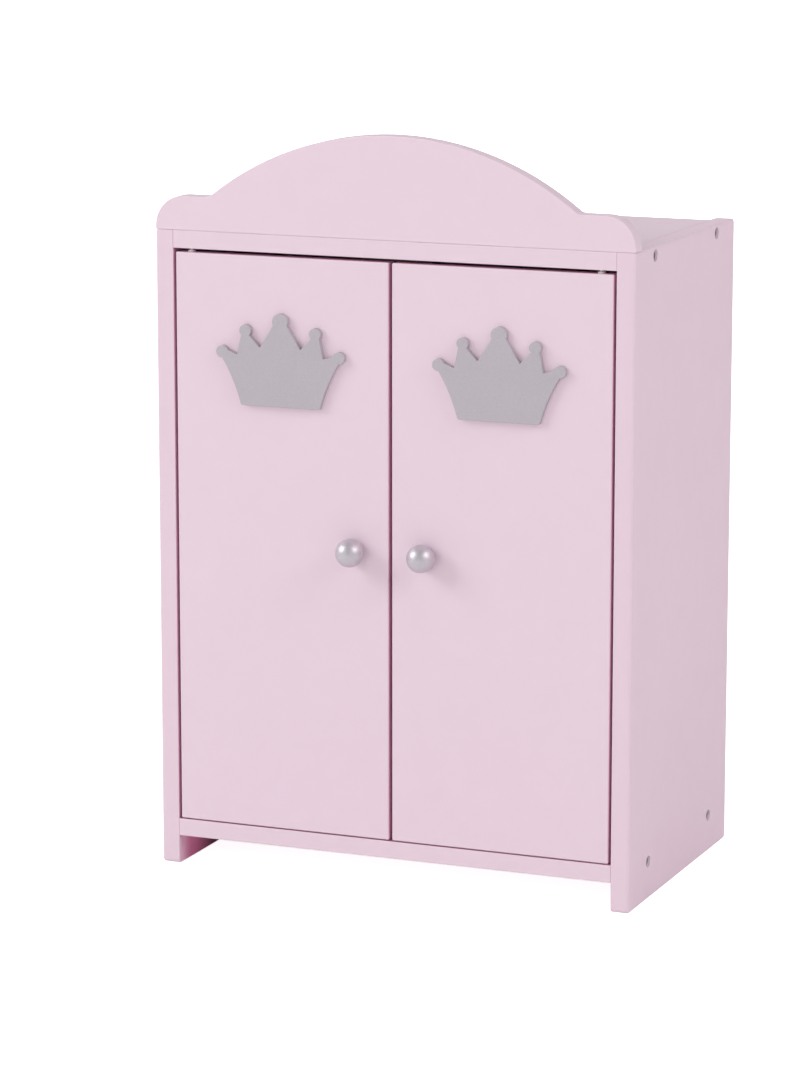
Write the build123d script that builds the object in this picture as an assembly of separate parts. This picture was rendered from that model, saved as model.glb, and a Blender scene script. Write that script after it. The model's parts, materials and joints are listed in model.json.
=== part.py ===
"""A doll's wardrobe of painted board: two flush doors on pivot pins under an arched pediment.

Millimetres. +Z is up, the doors face -Y, and the origin is on the floor, at the middle of the
wardrobe's whole width and depth, knobs included.
"""

from build123d import *
import os

# Overall size
width = 345.0
carcass_depth = 210.0
overall_height = 515.0
carcass_height = 445.2

# Boards
board = 12.2
side_thickness = 13.0
door_thickness = 10.0
back_thickness = 3.0
side_corner_round = 3.0
side_outer_round = 1.8
side_inner_round = 0.5
door_edge_round = 1.0
panel_edge_round = 0.6
bottom_panel_base = 20.3
back_inset = 17.0
groove_depth = 5.0
groove_slack = 0.1

# Doors and their gaps
gap_side = 2.0
gap_centre = 2.4
gap_top = 2.5
gap_bottom = 0.8

# Knobs
knob_radius = 9.7
knob_stand_off = 9.2
knob_from_centre = 25.9
knob_height = 233.4
knob_proud = knob_stand_off + knob_radius

# Crowns
crown_from_centre = 78.9
crown_base = 328.8
crown_thickness = 4.0
crown_edge = 0.4

# Pediment
shoulder_height = 23.6
pediment_corner = 21.0
arch_radius = 213.0
arch_blend = 8.0
pediment_edge_round = 0.8

# Pivots
pivot_radius = 1.5
pivot_length_in_door = 15.0
pivot_length_in_panel = 9.0
pivot_from_door_edge = 10.0
running_clearance = 0.06
fixed_clearance = 0.03
blind_end = 0.5
upper_washer_radius = 2.6
upper_washer_height = 1.2
lower_washer_radius = 2.6

# Clothes rail
rail_radius = 6.0
rail_height = 395.0
rail_seat = 6.0

# Screws, dowels and nails
panel_screw_inset = 40.0
panel_screw_length = 40.0
panel_screw_head = 4.0
panel_screw_radius = 2.0
panel_screw_sunk = 1.9
dowel_radius = 2.5
pediment_screw_places = (-110.0, 0.0, 110.0)
pediment_dowel_places = (-60.0, 60.0)
nail_places = (-120.0, -60.0, 0.0, 60.0, 120.0)
nail_radius = 0.7
nail_head_radius = 1.5
nail_head_height = 0.6
nail_length = 16.0

# Magnetic catch, under the top panel at the meeting of the doors
catch_width = 52.0
catch_depth = 15.0
catch_height = 17.0
magnet_size = (14.0, 12.0, 5.0)
pole_plate_thickness = 1.0
pole_plate_depth = 14.0
magnet_from_centre = 10.0
magnet_drop = 9.0
catch_screw_from_centre = 21.5
strike_size = (14.0, 0.8, 9.0)
strike_air_gap = 0.1

# Places worked out from the sizes above
front = -(carcass_depth - knob_proud) / 2
rear = front + carcass_depth
inner_face = width / 2 - side_thickness
back_front = rear - back_inset - back_thickness
panel_depth = back_front - front
door_rear = front + door_thickness
door_base = bottom_panel_base + board + gap_bottom
door_top = carcass_height - board - gap_top
door_outer = inner_face - gap_side
door_inner = gap_centre / 2
pivot_from_centre = door_outer - pivot_from_door_edge
pivot_y = front + door_thickness / 2
top_panel_base = carcass_height - board
top_panel_middle = carcass_height - board / 2
bottom_panel_middle = bottom_panel_base + board / 2
rail_y = (door_rear + back_front) / 2
magnet_height = top_panel_base - magnet_drop
strike_rear = door_rear + strike_size[1]

os.makedirs("parts", exist_ok=True)


def block(x0, x1, y0, y1, z0, z1):
    """A box between two corners."""
    size = (x1 - x0, y1 - y0, z1 - z0)
    return Pos((x0 + x1) / 2, (y0 + y1) / 2, (z0 + z1) / 2) * Box(*size)


def cross_panel(base):
    """A panel between the side panels, flush with their front edges and eased round its own front."""
    shape = block(-inner_face, inner_face, front, back_front, base, base + board)
    return fillet(shape.faces().sort_by(Axis.Y)[0].edges(), panel_edge_round)


def spun(profile):
    """A solid turned about its own Z axis from an outline of (radius, height) points."""
    face = make_face(Plane.XZ * Polyline(*profile, close=True))
    return revolve(face, Axis.Z)


def along(direction, x, y, z):
    """The place whose own +Z points along a direction."""
    return Plane(origin=(x, y, z), z_dir=direction).location


def wood_screw(length, head_radius, shank_radius, socket):
    """A countersunk screw, head uppermost at height 0, with a thread of separate rings."""
    rim = 0.3
    plain = length * 0.4
    pitch = 1.4
    root = shank_radius * 0.72
    profile = [(0, 0), (head_radius, 0), (head_radius, -rim)]
    cone_end = -rim - (head_radius - shank_radius)
    profile += [(shank_radius, cone_end), (shank_radius, -plain), (root, -plain - 0.2)]
    height = -plain - 0.2
    while height - pitch > -length + 2 * shank_radius:
        profile += [(root, height - 0.5), (shank_radius, height - 0.8), (root, height - 1.1)]
        height -= pitch
    profile += [(root, -length + 1.2 * shank_radius), (0, -length)]
    drive = extrude(RegularPolygon(socket / 2, 6, major_radius=False), -socket * 0.6)
    return spun(profile) - drive


def screw_hole(depth, head_radius, shank_radius, sunk):
    """The space a countersunk screw needs, from the board's face at height 0 downwards."""
    mouth = head_radius + 0.15
    bore = shank_radius + fixed_clearance
    start = -sunk - 0.45
    profile = [(0, 1), (mouth, 1), (mouth, start), (bore, start - (mouth - bore))]
    profile += [(bore, -depth), (0, -depth)]
    return spun(profile)


def rod(radius, length):
    """A round bar upwards from height 0."""
    return Cylinder(radius, length, align=(Align.CENTER, Align.CENTER, Align.MIN))


def pan_screw(length, head_radius, head_height, shank_radius):
    """A pan-head screw with a cross recess; the head's seat is at height 0, the shank goes down."""
    crown = fillet(rod(head_radius, head_height).edges().sort_by(Axis.Z)[-1], head_height * 0.6)
    shank = Pos(0, 0, -length) * chamfer(rod(shank_radius, length).edges().sort_by(Axis.Z)[0], 0.4)
    arm = Box(head_radius * 1.1, 0.9, head_height)
    recess = Pos(0, 0, head_height) * (arm + Rot(0, 0, 90) * arm)
    return crown + shank - recess


def dowel(radius, length):
    """A wooden dowel with chamfered ends, upwards from height 0."""
    return chamfer(rod(radius, length).edges().filter_by(GeomType.CIRCLE), 0.6)


def mirrored(shape):
    """The same shape on the other side of the wardrobe's middle."""
    return mirror(shape, Plane.YZ)


def placed_copies(shape, places):
    """One solid for each place."""
    return [place * shape for place in places]


# Screws through each side panel into the ends of the top and bottom panels
panel_screw = wood_screw(panel_screw_length, panel_screw_head, panel_screw_radius, 3.0)
panel_screw_hole = screw_hole(
    panel_screw_length + panel_screw_sunk + blind_end,
    panel_screw_head,
    panel_screw_radius,
    panel_screw_sunk,
)
right_screw_spots = [
    (y, z)
    for y in (front + panel_screw_inset, rear - panel_screw_inset)
    for z in (bottom_panel_middle, top_panel_middle)
]
right_panel_screws = placed_copies(
    panel_screw,
    [along((1, 0, 0), width / 2 - panel_screw_sunk, y, z) for y, z in right_screw_spots],
)
left_panel_screws = [mirrored(screw) for screw in right_panel_screws]
right_screw_holes = placed_copies(
    panel_screw_hole, [along((1, 0, 0), width / 2, y, z) for y, z in right_screw_spots]
)
panel_screw_holes = right_screw_holes + [mirrored(hole) for hole in right_screw_holes]

# Locating dowels between the side panels and the top and bottom panels
dowel_in_side = 7.0
dowel_in_panel = 13.0
dowel_y = front + panel_depth / 2
right_dowel_spots = [
    along((1, 0, 0), inner_face - dowel_in_panel, dowel_y, z)
    for z in (bottom_panel_middle, top_panel_middle)
]
right_dowels = placed_copies(dowel(dowel_radius, dowel_in_side + dowel_in_panel), right_dowel_spots)
panel_dowels = right_dowels + [mirrored(piece) for piece in right_dowels]
dowel_bore = Pos(0, 0, -blind_end) * rod(
    dowel_radius + fixed_clearance, dowel_in_side + dowel_in_panel + 2 * blind_end
)
right_dowel_holes = placed_copies(dowel_bore, right_dowel_spots)
panel_dowel_holes = right_dowel_holes + [mirrored(hole) for hole in right_dowel_holes]

# Clothes rail, its ends let into the side panels
rail_half = inner_face + rail_seat
clothes_rail = along((1, 0, 0), -rail_half, rail_y, rail_height) * dowel(rail_radius, 2 * rail_half)
rail_bore = along((1, 0, 0), -rail_half - 0.2, rail_y, rail_height) * rod(
    rail_radius + fixed_clearance, 2 * rail_half + 0.4
)

# Side panels, well rounded outside and at their corners, but crisp under the pediment, with a
# groove near the rear edge that the back panel slides down
right_side_panel = block(inner_face, width / 2, front, rear, 0, carcass_height)
corner_edges = right_side_panel.edges().filter_by(Axis.X)
edge_under_pediment = corner_edges.group_by(Axis.Z)[-1].sort_by(Axis.Y)[0]
corner_edges = [edge for edge in corner_edges if edge != edge_under_pediment]
right_side_panel = fillet(corner_edges, side_corner_round)
outer_edges = right_side_panel.faces().sort_by(Axis.X)[-1].edges()
right_side_panel = fillet(outer_edges, side_outer_round)
inner_edges = right_side_panel.faces().sort_by(Axis.X)[0].edges()
right_side_panel = fillet(inner_edges, side_inner_round)
groove_end = inner_face + groove_depth
right_side_panel -= block(
    inner_face - 1,
    groove_end,
    back_front - groove_slack,
    back_front + back_thickness + groove_slack,
    bottom_panel_base - groove_slack,
    carcass_height + 1,
)
right_side_panel -= rail_bore
right_side_panel -= right_screw_holes
right_side_panel -= right_dowel_holes
left_side_panel = mirrored(right_side_panel)

# Pivot pins, fixed in the doors and turning in the top and bottom panels
upper_pin_base = door_top - pivot_length_in_door
upper_pin_top = top_panel_base + pivot_length_in_panel
lower_pin_base = bottom_panel_base + board - pivot_length_in_panel
lower_pin_top = door_base + pivot_length_in_door
pin_end_round = 0.5


def pivot_pin(side, base, top):
    """A steel pin with rounded ends; side is -1 for the left door and +1 for the right."""
    pin = rod(pivot_radius, top - base)
    pin = fillet(pin.edges().filter_by(GeomType.CIRCLE), pin_end_round)
    return Pos(side * pivot_from_centre, pivot_y, base) * pin


def pivot_bore(side, base, top, clearance):
    """The hole round a pin between two heights."""
    return Pos(side * pivot_from_centre, pivot_y, base) * rod(pivot_radius + clearance, top - base)


# Screws up through the top panel into the pediment, and dowels beside them
pediment_y = front + board / 2
pediment_screw_length = 32.0
pediment_screw_radius = 1.75
pediment_screw_head = 3.5
pediment_screw_places_up = [
    along((0, 0, -1), x, pediment_y, top_panel_base + 0.3) for x in pediment_screw_places
]
pediment_screws = placed_copies(
    wood_screw(pediment_screw_length, pediment_screw_head, pediment_screw_radius, 2.5),
    pediment_screw_places_up,
)
pediment_screw_holes = placed_copies(
    screw_hole(pediment_screw_length + 1.0, pediment_screw_head, pediment_screw_radius, 0.3),
    [along((0, 0, -1), x, pediment_y, top_panel_base) for x in pediment_screw_places],
)
pediment_dowel_base = carcass_height - 9.0
pediment_dowel_length = 24.0
pediment_dowel_spots = [
    Pos(x, pediment_y, pediment_dowel_base) for x in pediment_dowel_places
]
pediment_dowels = placed_copies(dowel(dowel_radius, pediment_dowel_length), pediment_dowel_spots)
pediment_dowel_holes = placed_copies(
    Pos(0, 0, -blind_end)
    * rod(dowel_radius + fixed_clearance, pediment_dowel_length + 2 * blind_end),
    pediment_dowel_spots,
)

# Nails through the back panel into the rear edges of the top and bottom panels
nail = Pos(0, 0, -nail_length) * rod(nail_radius, nail_length) + rod(
    nail_head_radius, nail_head_height
)
nail_spots = [
    along((0, 1, 0), x, back_front + back_thickness, z)
    for x in nail_places
    for z in (bottom_panel_middle, top_panel_middle)
]
back_panel_nails = placed_copies(nail, nail_spots)
nail_holes = placed_copies(
    Pos(0, 0, -nail_length - blind_end)
    * rod(nail_radius + fixed_clearance, nail_length + blind_end + 1),
    nail_spots,
)

# Top and bottom panels
top_panel = cross_panel(top_panel_base)
bottom_panel = cross_panel(bottom_panel_base)
for side in (-1, 1):
    top_panel -= pivot_bore(
        side, top_panel_base - 1, upper_pin_top + blind_end, running_clearance
    )
    bottom_panel -= pivot_bore(
        side, lower_pin_base - blind_end, bottom_panel_base + board + 1, running_clearance
    )
top_panel -= panel_screw_holes
top_panel -= panel_dowel_holes
top_panel -= nail_holes
top_panel -= pediment_screw_holes
top_panel -= pediment_dowel_holes
bottom_panel -= panel_screw_holes
bottom_panel -= panel_dowel_holes
bottom_panel -= nail_holes

# Back panel
back_half = groove_end - 0.2
back_panel = block(
    -back_half,
    back_half,
    back_front,
    back_front + back_thickness,
    bottom_panel_base,
    carcass_height,
)
back_panel -= nail_holes

# Pediment: a level shoulder each side, and an arch between them that meets it in a small cove
pediment_height = overall_height - carcass_height
arch_centre = pediment_height - arch_radius
shoulder_plate = Pos(0, shoulder_height / 2) * Rectangle(width, shoulder_height)
shoulder_plate = fillet(shoulder_plate.vertices().group_by(Axis.Y)[-1], pediment_corner)
arch = Pos(0, arch_centre) * Circle(arch_radius)
arch &= Pos(0, pediment_height / 2) * Rectangle(width, pediment_height)
pediment_outline = shoulder_plate + arch
cove_corners = [
    corner
    for corner in pediment_outline.vertices()
    if abs(corner.Y - shoulder_height) < 0.01 and abs(corner.X) < width / 2 - pediment_corner - 1
]
pediment_outline = fillet(cove_corners, arch_blend)
front_plane = Plane(origin=(0, front, carcass_height), x_dir=(1, 0, 0), z_dir=(0, -1, 0))
pediment = extrude(front_plane * pediment_outline, -board)
pediment_faces = pediment.faces().filter_by(Axis.Y)
pediment_foot_corners = pediment.edges().filter_by(Axis.Y).group_by(Axis.Z)[0]
pediment = fillet(pediment_faces.edges() + pediment_foot_corners, pediment_edge_round)
pediment -= pediment_screw_holes
pediment -= pediment_dowel_holes

# Magnetic catch
magnet_rear = strike_rear + strike_air_gap
catch_front = magnet_rear + 0.5
catch_rear = catch_front + catch_depth
magnet_centres = (-magnet_from_centre, magnet_from_centre)
pole_offset = (magnet_size[2] + pole_plate_thickness) / 2
magnet_front = magnet_rear + 1.0


def catch_slot(x):
    """The pocket in the housing for one magnet and its two pole plates."""
    half = magnet_size[0] / 2 + 0.05
    tall = magnet_size[2] / 2 + pole_plate_thickness + 0.05
    return block(
        x - half,
        x + half,
        catch_front - 1,
        magnet_rear + pole_plate_depth + 0.05,
        magnet_height - tall,
        magnet_height + tall,
    )


def pole_plate(x, z):
    """A thin steel plate that carries the magnet's pull to the front."""
    half = magnet_size[0] / 2
    thick = pole_plate_thickness / 2
    return block(x - half, x + half, magnet_rear, magnet_rear + pole_plate_depth, z - thick, z + thick)


catch_base = top_panel_base - catch_height
catch_housing = block(
    -catch_width / 2, catch_width / 2, catch_front, catch_rear, catch_base, top_panel_base
)
catch_corners = catch_housing.edges().filter_by(Axis.Z) + catch_housing.edges().group_by(Axis.Z)[0]
catch_housing = fillet(catch_corners, 1.0)
catch_housing -= [catch_slot(x) for x in magnet_centres]
catch_magnets = [
    Pos(x, magnet_front + magnet_size[1] / 2, magnet_height) * Box(*magnet_size)
    for x in magnet_centres
]
catch_pole_plates = [
    pole_plate(x, magnet_height + offset)
    for x in magnet_centres
    for offset in (-pole_offset, pole_offset)
]
catch_screw_length = 24.0
catch_screw_head = 2.8
catch_screw_radius = 1.4
catch_screw_y = (catch_front + catch_rear) / 2
catch_screw_sides = (-catch_screw_from_centre, catch_screw_from_centre)
catch_screws = placed_copies(
    wood_screw(catch_screw_length, catch_screw_head, catch_screw_radius, 2.0),
    [along((0, 0, -1), x, catch_screw_y, catch_base + 0.3) for x in catch_screw_sides],
)
catch_screw_holes = placed_copies(
    screw_hole(catch_screw_length + 1.0, catch_screw_head, catch_screw_radius, 0.3),
    [along((0, 0, -1), x, catch_screw_y, catch_base) for x in catch_screw_sides],
)
catch_housing -= catch_screw_holes
top_panel -= catch_screw_holes

# Steel washers under the doors, which carry them, and a nylon one on top of each door
washer_slack = 0.15


def washer(radius, height, base):
    """A flat ring round the right-hand pivot."""
    ring = rod(radius, height) - rod(pivot_radius + washer_slack, height)
    return Pos(pivot_from_centre, pivot_y, base) * ring


right_lower_washer = washer(lower_washer_radius, gap_bottom, bottom_panel_base + board)
lower_washers = [mirrored(right_lower_washer), right_lower_washer]
right_upper_washer = washer(upper_washer_radius, upper_washer_height, door_top)

# Right-hand crown: a flared band with five ball-tipped points
crown_foot = (29.0, 0.0)
crown_waist = (35.0, 17.0)
crown_shoulder = (43.4, 32.6)
outer_tip = (43.0, 35.8)
outer_neck = (40.2, 37.6)
outer_valley = (31.5, 34.3)
inner_tip = (25.7, 51.0)
inner_neck_out = (28.6, 49.0)
inner_neck_in = (23.5, 48.8)
inner_valley = (14.9, 39.8)
middle_neck = (4.6, 56.4)
middle_tip = (0.0, 58.1)
small_ball = 4.2
middle_ball = 5.6
crown_foot_round = 1.5
valley_round = 0.6


def crown_shape():
    """The crown's outline, filled, with its base's middle at the origin."""
    side = ThreePointArc(crown_foot, crown_waist, crown_shoulder)
    points = Polyline(
        crown_shoulder,
        outer_neck,
        outer_valley,
        inner_neck_out,
        inner_neck_in,
        inner_valley,
        middle_neck,
        (0, middle_neck[1]),
        (0, 0),
        crown_foot,
    )
    half = make_face(side + points)
    band = half + mirror(half, Plane.YZ)
    feet = band.vertices().group_by(Axis.Y)[0]
    band = fillet(feet.filter_by(lambda v: abs(v.X) > 1), crown_foot_round)
    valleys = [
        v
        for v in band.vertices()
        if min(abs(v.Y - outer_valley[1]), abs(v.Y - inner_valley[1])) < 0.01
    ]
    band = fillet(valleys, valley_round)
    balls = [Pos(side * x, y) * Circle(small_ball) for side in (-1, 1) for x, y in (outer_tip, inner_tip)]
    return band + balls + Pos(*middle_tip) * Circle(middle_ball)


crown_plane = Plane(origin=(crown_from_centre, front, crown_base), x_dir=(1, 0, 0), z_dir=(0, -1, 0))
right_crown = extrude(crown_plane * crown_shape(), crown_thickness)
crown_face_edges = right_crown.faces().sort_by(Axis.Y)[0].edges()
right_crown = fillet(crown_face_edges, crown_edge)
left_crown = mirrored(right_crown)

# Knob, and the screw through the door that holds it
knob_screw_length = 22.0
knob_screw_radius = 2.0
right_knob_place = along((0, -1, 0), knob_from_centre, front, knob_height)
ball = Pos(0, 0, knob_stand_off) * Sphere(knob_radius)
ball -= Pos(0, 0, -knob_radius) * Box(3 * knob_radius, 3 * knob_radius, 2 * knob_radius)
knob_bore_depth = knob_screw_length - door_thickness + blind_end
ball -= rod(knob_screw_radius + fixed_clearance, knob_bore_depth)
right_knob = right_knob_place * ball
knob_screw_place = along((0, 1, 0), knob_from_centre, door_rear, knob_height)
right_knob_screw = knob_screw_place * pan_screw(knob_screw_length, 4.0, 2.4, knob_screw_radius)
knob_screw_hole = along((0, -1, 0), knob_from_centre, door_rear + 1, knob_height) * rod(
    knob_screw_radius + fixed_clearance, door_thickness + 2
)

# Strike plate on the back of the door, facing its magnet
strike_screw_length = 8.0
strike_screw_head = 2.2
strike_screw_radius = 1.1
strike_place = along((0, 1, 0), magnet_from_centre, strike_rear, magnet_height)
strike_hole = strike_place * screw_hole(
    strike_screw_length + 1.0, strike_screw_head, strike_screw_radius, 0.05
)
right_strike_screw = along((0, 1, 0), magnet_from_centre, strike_rear - 0.05, magnet_height) * (
    wood_screw(strike_screw_length, strike_screw_head, strike_screw_radius, 1.4)
)
strike_blank = Pos(magnet_from_centre, door_rear + strike_size[1] / 2, magnet_height) * Box(*strike_size)
strike_blank = fillet(strike_blank.edges().filter_by(Axis.Y), 1.5)
right_strike_plate = strike_blank - strike_hole

# Doors, every edge eased
right_door_panel = block(door_inner, door_outer, front, door_rear, door_base, door_top)
right_door_panel = fillet(right_door_panel.edges(), door_edge_round)
right_door_panel -= pivot_bore(1, upper_pin_base - blind_end, door_top + 1, fixed_clearance)
right_door_panel -= pivot_bore(1, door_base - 1, lower_pin_top + blind_end, fixed_clearance)
right_door_panel -= knob_screw_hole
right_door_panel -= strike_hole

cabinet_nodes = {
    "left_side_panel": left_side_panel,
    "right_side_panel": right_side_panel,
    "top_panel": top_panel,
    "bottom_panel": bottom_panel,
    "back_panel": back_panel,
    "pediment": pediment,
    "clothes_rail": clothes_rail,
    "left_panel_screws": left_panel_screws,
    "right_panel_screws": right_panel_screws,
    "panel_dowels": panel_dowels,
    "pediment_screws": pediment_screws,
    "pediment_dowels": pediment_dowels,
    "back_panel_nails": back_panel_nails,
    "catch_housing": catch_housing,
    "catch_magnets": catch_magnets,
    "catch_pole_plates": catch_pole_plates,
    "catch_screws": catch_screws,
    "lower_washers": lower_washers,
}
right_door_nodes = {
    "door_panel": right_door_panel,
    "crown": right_crown,
    "knob": right_knob,
    "knob_screw": right_knob_screw,
    "upper_pivot_pin": pivot_pin(1, upper_pin_base, upper_pin_top),
    "lower_pivot_pin": pivot_pin(1, lower_pin_base, lower_pin_top),
    "upper_washer": right_upper_washer,
    "strike_plate": right_strike_plate,
    "strike_screw": right_strike_screw,
}
nodes = dict(cabinet_nodes)
for name, shape in right_door_nodes.items():
    nodes["right_" + name] = shape
    nodes["left_" + name] = mirrored(shape)

for name, shape in nodes.items():
    whole = Compound(children=shape) if isinstance(shape, list) else shape
    export_step(whole, "parts/" + name + ".step")
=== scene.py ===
"""Looks for the doll's wardrobe: pink boards, silver crowns and knobs, and the parts inside.

Everything is in metres, in the CAD model's own frame. The CAD nodes carry every visible shape, and
this script gives each of them its finish, lights the wardrobe like a product picture on a white
table, and places the camera.
"""

import json
import math

import bpy
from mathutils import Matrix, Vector


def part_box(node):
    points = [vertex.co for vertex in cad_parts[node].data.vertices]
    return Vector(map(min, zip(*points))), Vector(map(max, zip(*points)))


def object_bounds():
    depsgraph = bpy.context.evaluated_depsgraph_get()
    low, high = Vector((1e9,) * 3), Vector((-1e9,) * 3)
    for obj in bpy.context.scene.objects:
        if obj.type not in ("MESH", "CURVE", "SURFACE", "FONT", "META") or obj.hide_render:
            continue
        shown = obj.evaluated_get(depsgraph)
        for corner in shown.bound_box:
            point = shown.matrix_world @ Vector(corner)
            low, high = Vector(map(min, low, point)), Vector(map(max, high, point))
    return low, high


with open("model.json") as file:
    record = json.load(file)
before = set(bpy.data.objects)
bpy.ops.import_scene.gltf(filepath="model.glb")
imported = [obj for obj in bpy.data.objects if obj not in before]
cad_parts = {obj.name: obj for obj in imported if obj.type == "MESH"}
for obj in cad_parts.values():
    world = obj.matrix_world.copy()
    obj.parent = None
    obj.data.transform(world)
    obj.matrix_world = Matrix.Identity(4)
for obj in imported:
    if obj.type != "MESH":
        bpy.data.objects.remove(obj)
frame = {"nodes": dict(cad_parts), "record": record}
cad_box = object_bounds()
nodes = frame["nodes"]
MM = 0.001

# Places read from the frame
side_low, side_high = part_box("left_side_panel")
front, rear = side_low.y, side_high.y
side_top = side_high.z
carcass_y = (side_low.y + side_high.y) / 2
door_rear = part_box("left_door_panel")[1].y
toe_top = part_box("bottom_panel")[0].z


def srgb(red, green, blue):
    """A colour given as 0 to 255 on screen, as linear light with alpha."""
    channels = [c / 255 for c in (red, green, blue)]
    linear = [c / 12.92 if c <= 0.04045 else ((c + 0.055) / 1.055) ** 2.4 for c in channels]
    return (*linear, 1.0)


def shade(colour, factor):
    """The same colour, lighter or darker."""
    return (*[min(1.0, c * factor) for c in colour[:3]], 1.0)


class Recipe:
    """A material under construction, with short names for the nodes it is made of."""

    def __init__(self, name):
        self.material = bpy.data.materials.new(name)
        self.material.use_nodes = True
        self.tree = self.material.node_tree
        self.shader = self.tree.nodes["Principled BSDF"]
        place = self.add("ShaderNodeTexCoord")
        self.point = place.outputs["Object"]
        self.x, self.y, self.z = self.split(self.point)
        self.normal = self.split(place.outputs["Normal"])

    def add(self, kind, **settings):
        node = self.tree.nodes.new(kind)
        for key, value in settings.items():
            setattr(node, key, value)
        return node

    def feed(self, socket, value):
        """Sets a socket to a number or colour, or links another node's output to it."""
        if isinstance(value, bpy.types.NodeSocket):
            self.tree.links.new(value, socket)
        else:
            socket.default_value = value

    def split(self, vector):
        node = self.add("ShaderNodeSeparateXYZ")
        self.feed(node.inputs[0], vector)
        return list(node.outputs)

    def math(self, operation, *values):
        node = self.add("ShaderNodeMath", operation=operation)
        for socket, value in zip(node.inputs, values):
            self.feed(socket, value)
        return node.outputs[0]

    def size(self, value):
        return self.math("ABSOLUTE", value)

    def times(self, *values):
        product = values[0]
        for value in values[1:]:
            product = self.math("MULTIPLY", product, value)
        return product

    def largest(self, *values):
        best = values[0]
        for value in values[1:]:
            best = self.math("MAXIMUM", best, value)
        return best

    def stretched(self, scale):
        """The object's own coordinates, scaled by a different number along each axis."""
        node = self.add("ShaderNodeVectorMath", operation="MULTIPLY")
        self.feed(node.inputs[0], self.point)
        node.inputs[1].default_value = scale
        return node.outputs[0]

    def noise(self, scale, detail=2.0, roughness=0.5, at=None, distortion=0.0):
        """Cloudy noise from 0 to 1, with this many features to the metre."""
        node = self.add("ShaderNodeTexNoise")
        self.feed(node.inputs["Vector"], at or self.point)
        node.inputs["Scale"].default_value = scale
        node.inputs["Detail"].default_value = detail
        node.inputs["Roughness"].default_value = roughness
        node.inputs["Distortion"].default_value = distortion
        return node.outputs["Fac"]

    def cells(self, scale, at=None, output="Distance"):
        """Scattered points, this many to the metre: the distance to the nearest, or its colour."""
        node = self.add("ShaderNodeTexVoronoi")
        self.feed(node.inputs["Vector"], at or self.point)
        node.inputs["Scale"].default_value = scale
        return node.outputs[output]

    def span(self, value, low, high, to_low=0.0, to_high=1.0):
        """Maps low..high smoothly to to_low..to_high and holds it there beyond."""
        node = self.add("ShaderNodeMapRange", interpolation_type="SMOOTHSTEP")
        for socket, number in zip(node.inputs, (value, low, high, to_low, to_high)):
            self.feed(socket, number)
        return node.outputs[0]

    def mix(self, factor, low, high):
        """A colour between two colours."""
        node = self.add("ShaderNodeMix", data_type="RGBA")
        for place, value in ((0, factor), (6, low), (7, high)):
            self.feed(node.inputs[place], value)
        return node.outputs[2]

    def bump(self, height, distance, under=None):
        """A normal raised by a height of 0 to 1 over this distance, on top of another normal."""
        node = self.add("ShaderNodeBump")
        node.inputs["Distance"].default_value = distance
        self.feed(node.inputs["Height"], height)
        if under is not None:
            self.feed(node.inputs["Normal"], under)
        return node.outputs[0]

    def done(self, colour, roughness, normal, metallic=0.0):
        """Connects the finish to the shader and gives the material."""
        self.feed(self.shader.inputs["Base Color"], colour)
        self.feed(self.shader.inputs["Roughness"], roughness)
        self.feed(self.shader.inputs["Normal"], normal)
        self.feed(self.shader.inputs["Metallic"], metallic)
        return self.material


# Finishes

X, Y, Z = range(3)
PINK = srgb(232, 210, 222)
# The side panels' pink is a little more saturated: a painted tint that stands for the pink light
# falling on the sides
SIDE_PINK_PAINTED_LIGHT_TINT = srgb(232, 208, 221)
ARRIS_PINK = srgb(240, 222, 231)
# Painted shade for the faces that look into the gaps round the doors: a warm pink and a deep pink
WARM_GAP_SHADE_PINK = srgb(236, 192, 212)
DEEP_GAP_SHADE_PINK = srgb(226, 178, 202)
# Painted light: a paler pink on the screw holes' walls, for the light that reaches into them
HOLE_WALL_PAINTED_LIGHT_PINK = srgb(252, 236, 245)
# Painted shade under the bottom panel, with painted pink bounce light near the front: the pink
# deepens in steps. Each colour, and where it sets in and is full, in millimetres behind the front
TOE_PAINTED_SHADES = (
    (srgb(252, 196, 222), 0.0, 6.0),
    (srgb(246, 150, 194), 8.0, 20.0),
    (srgb(142, 70, 104), 22.0, 60.0),
)
# Bands along the side panels' edges that have no screw hole in them: the front and rear ones, the
# rear one with the groove for the back panel, and the arrises of the foot and the top
EDGE_BAND = 20 * MM
FOOT_BAND = 3 * MM
TOP_BAND = 1.6 * MM


def painted_gap_shade(r, colour, turned, where=1.0):
    """Painted shade of a narrow gap: warm pink near the front and deep pink further in, in place of
    the gap's shadow and the pink light bounced inside it. turned goes from 0 on the board's front
    to
    1 on the face that looks into the gap, and where is 1 in the part of the board that has the gap."""
    in_gap_shade = r.times(r.span(turned, 0.4, 0.9), where)
    colour = r.mix(in_gap_shade, colour, WARM_GAP_SHADE_PINK)
    return r.mix(r.times(in_gap_shade, r.span(r.y, front + 0.8 * MM, front + 3 * MM)), colour, DEEP_GAP_SHADE_PINK)


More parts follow.
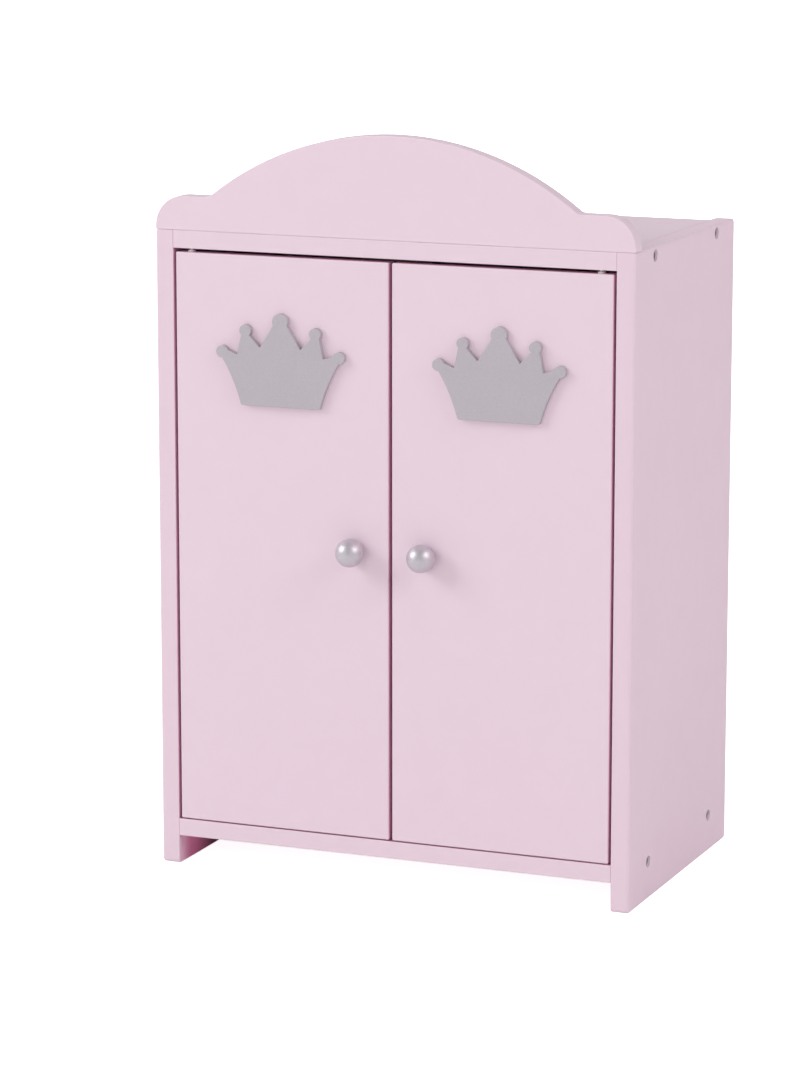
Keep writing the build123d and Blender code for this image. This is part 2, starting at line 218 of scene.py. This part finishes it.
def carcass_painted_light_and_shade(r, colour, thin, inside):
    """Painted shade: deeper pink where a carcass board faces a closed door's edge or the toe space.
    Painted light: paler pink on the walls of the side panels' screw holes."""
    inward = r.times(r.normal[thin], inside)
    if thin == X:
        # Painted shade on the side panels' inner faces beside the closed doors
        by_door = r.span(r.y, door_rear + 4 * MM, door_rear + 1 * MM)
        above_toe = r.span(r.z, toe_top, toe_top + 1 * MM)
        colour = painted_gap_shade(r, colour, inward, r.times(by_door, above_toe))
        below = inward
        # Painted light in the screw holes: their walls, away from the edge bands, take the paler
        # pink
        rim = r.span(r.size(inward), 0.6, 0.3)
        along_board = r.times(
            r.span(r.y, front + EDGE_BAND, front + EDGE_BAND + 1 * MM),
            r.span(r.y, rear - EDGE_BAND, rear - EDGE_BAND - 1 * MM),
        )
        off_ends = r.times(
            r.span(r.z, FOOT_BAND, FOOT_BAND + 1 * MM),
            r.span(r.z, side_top - TOP_BAND, side_top - TOP_BAND - 0.3 * MM),
        )
        colour = r.mix(r.times(rim, along_board, off_ends), colour, HOLE_WALL_PAINTED_LIGHT_PINK)
    else:
        # Painted shade on the top and bottom panels' inner faces just behind the front, in the gaps
        # above and below the doors
        at_front = r.span(r.y, front + 6 * MM, front + 3 * MM)
        colour = r.mix(r.times(r.span(inward, 0.8, 0.98), at_front), colour, DEEP_GAP_SHADE_PINK)
        below = r.times(inward, -1.0)
    # Painted shade in the toe space under the bottom panel, deepening further in
    low = r.span(r.z, toe_top + 0.5 * MM, toe_top - 0.5 * MM)
    in_toe_space = r.times(r.span(below, 0.8, 0.98), low)
    for tone, start, full in TOE_PAINTED_SHADES:
        deeper = r.span(r.y, front + start * MM, front + full * MM)
        colour = r.mix(r.times(in_toe_space, deeper), colour, tone)
    return colour


def pink_paint(name, thin, inside=None, door=False):
    """Satin lacquer sprayed on a board. thin is the axis of the board's thickness, and inside the
    direction of the wardrobe's inside along it. facing is 1 on the board's two faces, sideways 1
    on its cut edges, and the arris is where neither comes near 1."""
    r = Recipe(name)
    facing = r.size(r.normal[thin])
    cut_edge = r.span(facing, 0.8, 0.4)
    just_over_one = 1.0001  # keeps the root real
    sideways = r.math("SQRT", r.math("SUBTRACT", just_over_one, r.times(facing, facing)))
    arris = r.span(r.largest(facing, sideways), 0.97, 0.80)

    clouds = r.noise(6.0, 3.0, 0.55)
    mottle = r.noise(70.0, 3.0, 0.6)
    # The side panels take the pink with the painted tint of the side light
    pink = SIDE_PINK_PAINTED_LIGHT_TINT if thin == X else PINK
    colour = r.mix(clouds, shade(pink, 0.985), shade(pink, 1.015))
    colour = r.mix(r.span(mottle, 0.35, 0.65, 0.0, 0.3), colour, shade(pink, 0.97))
    colour = r.mix(r.times(cut_edge, 0.25), colour, shade(pink, 0.96))
    thin_coat = r.times(arris, r.span(r.noise(160.0, 3.0, 0.6), 0.35, 0.65, 0.0, 0.25))
    colour = r.mix(thin_coat, colour, ARRIS_PINK)
    # Painted shade on the doors' edge faces that look into the gaps. On carcass boards: painted
    # shade where they face the gaps and the toe space, and painted light in the screw holes
    if door:
        # Painted shade on the doors' side edges and on their top and bottom faces: the deeper pinks
        colour = painted_gap_shade(r, colour, r.size(r.normal[X]))
        colour = r.mix(r.span(r.size(r.normal[Z]), 0.93, 0.99), colour, DEEP_GAP_SHADE_PINK)
    elif inside is not None:
        colour = carcass_painted_light_and_shade(r, colour, thin, inside)

    smears = r.span(r.noise(18.0, 4.0, 0.6), 0.3, 0.7, 0.40, 0.47)
    roughness = r.math("ADD", smears, r.times(r.largest(cut_edge, arris), 0.03))

    peel = r.bump(r.noise(380.0, 1.5, 0.5), 0.012 * MM)
    grit = r.bump(r.noise(1500.0, 2.0, 0.6), 0.004 * MM, peel)
    nib = r.span(r.cells(90.0), 0.05, 0.0)
    nibs = r.bump(nib, 0.02 * MM, grit)
    fibres = r.times(cut_edge, r.noise(1900.0, 3.0, 0.65))
    return r.done(colour, roughness, r.bump(fibres, 0.012 * MM, nibs))


def silver_paint(name, colour, roughness, metallic):
    """Silver lacquer: fine flakes, each a little lighter or darker."""
    r = Recipe(name)
    flake = r.split(r.cells(2600.0, output="Color"))[0]
    tone = r.mix(flake, shade(colour, 0.93), shade(colour, 1.07))
    tone = r.mix(r.span(r.noise(30.0, 3.0, 0.6), 0.3, 0.7, 0.0, 0.35), tone, shade(colour, 0.95))
    rough = r.span(r.noise(60.0, 3.0, 0.6), 0.3, 0.7, roughness - 0.02, roughness + 0.03)
    glint = r.bump(flake, 0.006 * MM)
    normal = r.bump(r.noise(420.0, 2.0, 0.5), 0.012 * MM, glint)
    return r.done(tone, rough, normal, metallic)


def plated_steel():
    """Bright zinc: a cold grey with a faint bloom and fine drawn lines."""
    r = Recipe("plated_steel")
    bloom = r.noise(220.0, 4.0, 0.6)
    tone = r.mix(r.span(bloom, 0.3, 0.7), srgb(176, 178, 184), srgb(204, 202, 198))
    roughness = r.span(r.noise(700.0, 3.0, 0.6), 0.3, 0.7, 0.24, 0.38)
    lines = r.noise(1.0, 2.0, 0.5, at=r.stretched((3000.0, 3000.0, 500.0)))
    return r.done(tone, roughness, r.bump(lines, 0.006 * MM), metallic=1.0)


def beech(name, grain):
    """Bare sanded beech. The grain runs along one axis, with the short dark flecks of the rays."""
    r = Recipe(name)

    def along_grain(across, along):
        return r.stretched([along if axis == grain else across for axis in range(3)])

    rings = r.noise(1.0, 3.0, 0.5, at=along_grain(170.0, 6.0), distortion=0.6)
    fibre = r.noise(1.0, 3.0, 0.6, at=along_grain(1400.0, 40.0))
    fleck = r.span(r.cells(1.0, at=along_grain(900.0, 260.0)), 0.22, 0.10)
    colour = r.mix(r.span(rings, 0.3, 0.7), srgb(222, 184, 142), srgb(205, 160, 116))
    colour = r.mix(r.span(fibre, 0.45, 0.75, 0.0, 0.5), colour, srgb(190, 143, 100))
    colour = r.mix(r.times(fleck, 0.7), colour, srgb(158, 108, 70))
    roughness = r.span(fibre, 0.3, 0.7, 0.48, 0.60)
    pores = r.bump(fleck, 0.015 * MM)
    return r.done(colour, roughness, r.bump(fibre, 0.03 * MM, pores))


def black_steel():
    """Phosphated screws: a dark, dry, faintly mottled grey with some red in it."""
    r = Recipe("black_steel")
    tone = r.mix(r.noise(700.0, 3.0, 0.6), srgb(74, 54, 64), srgb(96, 74, 86))
    roughness = r.span(r.noise(900.0, 2.0, 0.6), 0.3, 0.7, 0.5, 0.62)
    return r.done(tone, roughness, r.bump(r.noise(2500.0, 2.0, 0.6), 0.01 * MM), metallic=0.4)


def moulded(name, colour, roughness, texture):
    """Moulded plastic with a fine spark-eroded texture."""
    r = Recipe(name)
    tone = r.mix(r.noise(120.0, 3.0, 0.6), shade(colour, 0.96), shade(colour, 1.03))
    rough = r.span(r.noise(300.0, 2.0, 0.5), 0.3, 0.7, roughness - 0.03, roughness + 0.04)
    return r.done(tone, rough, r.bump(r.noise(texture, 2.0, 0.6), 0.015 * MM))


def ferrite():
    """Dark sintered magnet, ground flat, with small pits."""
    r = Recipe("ferrite")
    tone = r.mix(r.noise(900.0, 3.0, 0.7), srgb(44, 43, 46), srgb(72, 70, 72))
    pits = r.span(r.cells(1400.0), 0.12, 0.02)
    return r.done(tone, r.span(pits, 0.0, 1.0, 0.42, 0.7), r.bump(pits, -0.03 * MM), metallic=0.2)


def coat(node, material):
    """Gives a CAD node its material."""
    for place in nodes[node].material_slots:
        place.material = material


# Each board of the carcass: the axis of its thickness, and which way along it the wardrobe's inside
# lies, or None where no gap or screw hole needs its own painted shade or painted light
CARCASS_BOARDS = {
    "left_side_panel": (X, 1),
    "right_side_panel": (X, -1),
    "top_panel": (Z, -1),
    "bottom_panel": (Z, 1),
    "back_panel": (Y, None),
    "pediment": (Y, None),
}
for node, (thin, inside) in CARCASS_BOARDS.items():
    coat(node, pink_paint("paint_" + node, thin, inside))
door_paint = pink_paint("paint_doors", Y, door=True)
for node in ("left_door_panel", "right_door_panel"):
    coat(node, door_paint)

finishes = {
    "silver_paint": silver_paint("crown_silver", srgb(190, 183, 190), 0.5, 0.3),
    "steel": plated_steel(),
    "black_steel": black_steel(),
    "beech": beech("beech_along_x", X),
    "nylon": moulded("nylon", srgb(228, 224, 220), 0.42, 1200.0),
    "catch_plastic": moulded("catch_plastic", srgb(74, 59, 51), 0.36, 1600.0),
    "magnet": ferrite(),
}
for part in frame["record"]["subparts"]:
    if part["material_slot"] in finishes:
        coat(part["node"], finishes[part["material_slot"]])
knob_silver = silver_paint("knob_silver", srgb(212, 206, 213), 0.45, 0.85)
for node in ("left_knob", "right_knob"):
    coat(node, knob_silver)
coat("pediment_dowels", beech("beech_along_z", Z))

# Floor: a white table. It glows faintly, and more where the camera sees it, which makes it nearly
# pure white there
FLOOR_SIZE = 40.0
FLOOR_GLOW = 0.05
FLOOR_GLOW_SEEN = 0.9
bpy.ops.mesh.primitive_plane_add(size=FLOOR_SIZE, location=(0, 0, cad_box[0].z))
floor = bpy.context.object
floor.name = "floor"
r = Recipe("white_table")
grey = r.mix(r.noise(3.0, 2.0, 0.5), (0.86, 0.86, 0.86, 1), (0.88, 0.88, 0.88, 1))
r.done(grey, 0.9, r.bump(r.noise(500.0), 0.01 * MM))
glow = r.add("ShaderNodeEmission")
seen = r.add("ShaderNodeLightPath").outputs["Is Camera Ray"]
r.feed(glow.inputs["Strength"], r.span(seen, 0.0, 1.0, FLOOR_GLOW, FLOOR_GLOW_SEEN))
lit = r.add("ShaderNodeAddShader")
r.feed(lit.inputs[0], r.shader.outputs[0])
r.feed(lit.inputs[1], glow.outputs[0])
r.feed(r.tree.nodes["Material Output"].inputs["Surface"], lit.outputs[0])
floor.data.materials.append(r.material)

# World: a white room, brighter near the horizon, and pure white where the camera sees it
HORIZON_LIGHT = 0.535
ZENITH_LIGHT = 0.40
WHITE_SEEN = 1.0
world = bpy.data.worlds.new("studio")
bpy.context.scene.world = world
world.use_nodes = True
tree = world.node_tree
split = tree.nodes.new("ShaderNodeSeparateXYZ")
tree.links.new(tree.nodes.new("ShaderNodeTexCoord").outputs["Generated"], split.inputs[0])
rise = tree.nodes.new("ShaderNodeMapRange")
tree.links.new(split.outputs["Z"], rise.inputs["Value"])
rise.inputs["To Min"].default_value = HORIZON_LIGHT
rise.inputs["To Max"].default_value = ZENITH_LIGHT
pick = tree.nodes.new("ShaderNodeMix")
tree.links.new(tree.nodes.new("ShaderNodeLightPath").outputs["Is Camera Ray"], pick.inputs[0])
tree.links.new(rise.outputs[0], pick.inputs[2])
pick.inputs[3].default_value = WHITE_SEEN
background = tree.nodes["Background"]
background.inputs["Color"].default_value = (1, 1, 1, 1)
tree.links.new(pick.outputs[0], background.inputs["Strength"])

# Lights, all aimed at a point near the wardrobe's middle
LIT_HEIGHT = 0.25
lit_point = Vector((0, carcass_y, LIT_HEIGHT))


def softbox(name, direction, distance, width, height, irradiance, colour=(1.0, 1.0, 1.0)):
    """A soft light that faces the lit point. irradiance is what a facing surface gets, as a share
    of the light that makes white paper white."""
    light = bpy.data.lights.new(name, "AREA")
    light.shape = "RECTANGLE"
    light.size = width
    light.size_y = height
    light.energy = irradiance * math.pi * math.pi * distance**2
    light.color = colour
    thing = bpy.data.objects.new(name, light)
    bpy.context.scene.collection.objects.link(thing)
    away = Vector(direction).normalized()
    thing.location = lit_point + away * distance
    thing.rotation_euler = away.to_track_quat("Z", "Y").to_euler()
    return thing


FAINT_PINK_LIGHT = (1.0, 0.95, 0.975)
softbox("key_light", (-0.73, -0.48, 0.485), 6.0, 2.9, 2.7, 0.37)
softbox("side_light", (0.790, -0.234, 0.567), 4.5, 1.6, 1.9, 0.27, FAINT_PINK_LIGHT)
fills = (
    softbox("front_fill", (-0.10, -0.97, 0.20), 5.0, 2.8, 2.0, 0.12),
    softbox("top_fill", (0.05, 0.10, 0.99), 5.0, 3.0, 3.0, 0.06),
    softbox("rear_fill", (-0.25, 0.92, 0.30), 5.0, 2.6, 2.0, 0.20),
)
# The fills lift the shadows, and shiny surfaces don't mirror them
for lamp in fills:
    lamp.visible_glossy = False

# Camera, fitted to the carcass corners. The azimuth is how far it stands to the right of the
# front, the elevation how far above level, and the aim is the point in the picture's middle
AZIMUTH = math.radians(22.321)
ELEVATION = math.radians(11.221)
DISTANCE = 2.8554
FOCAL_LENGTH_MM = 137.72
SENSOR_MM = 36.0
aim = Vector((-0.0305, carcass_y - 0.0132, 0.2270))
camera_data = bpy.data.cameras.new("camera")
camera_data.lens = FOCAL_LENGTH_MM
camera_data.sensor_width = SENSOR_MM
camera = bpy.data.objects.new("camera", camera_data)
bpy.context.scene.collection.objects.link(camera)
back = Vector(
    (
        math.sin(AZIMUTH) * math.cos(ELEVATION),
        -math.cos(AZIMUTH) * math.cos(ELEVATION),
        math.sin(ELEVATION),
    )
)
camera.location = aim + back * DISTANCE
camera.rotation_euler = back.to_track_quat("Z", "Y").to_euler()
bpy.context.scene.camera = camera
bpy.context.scene.view_settings.view_transform = "Standard"
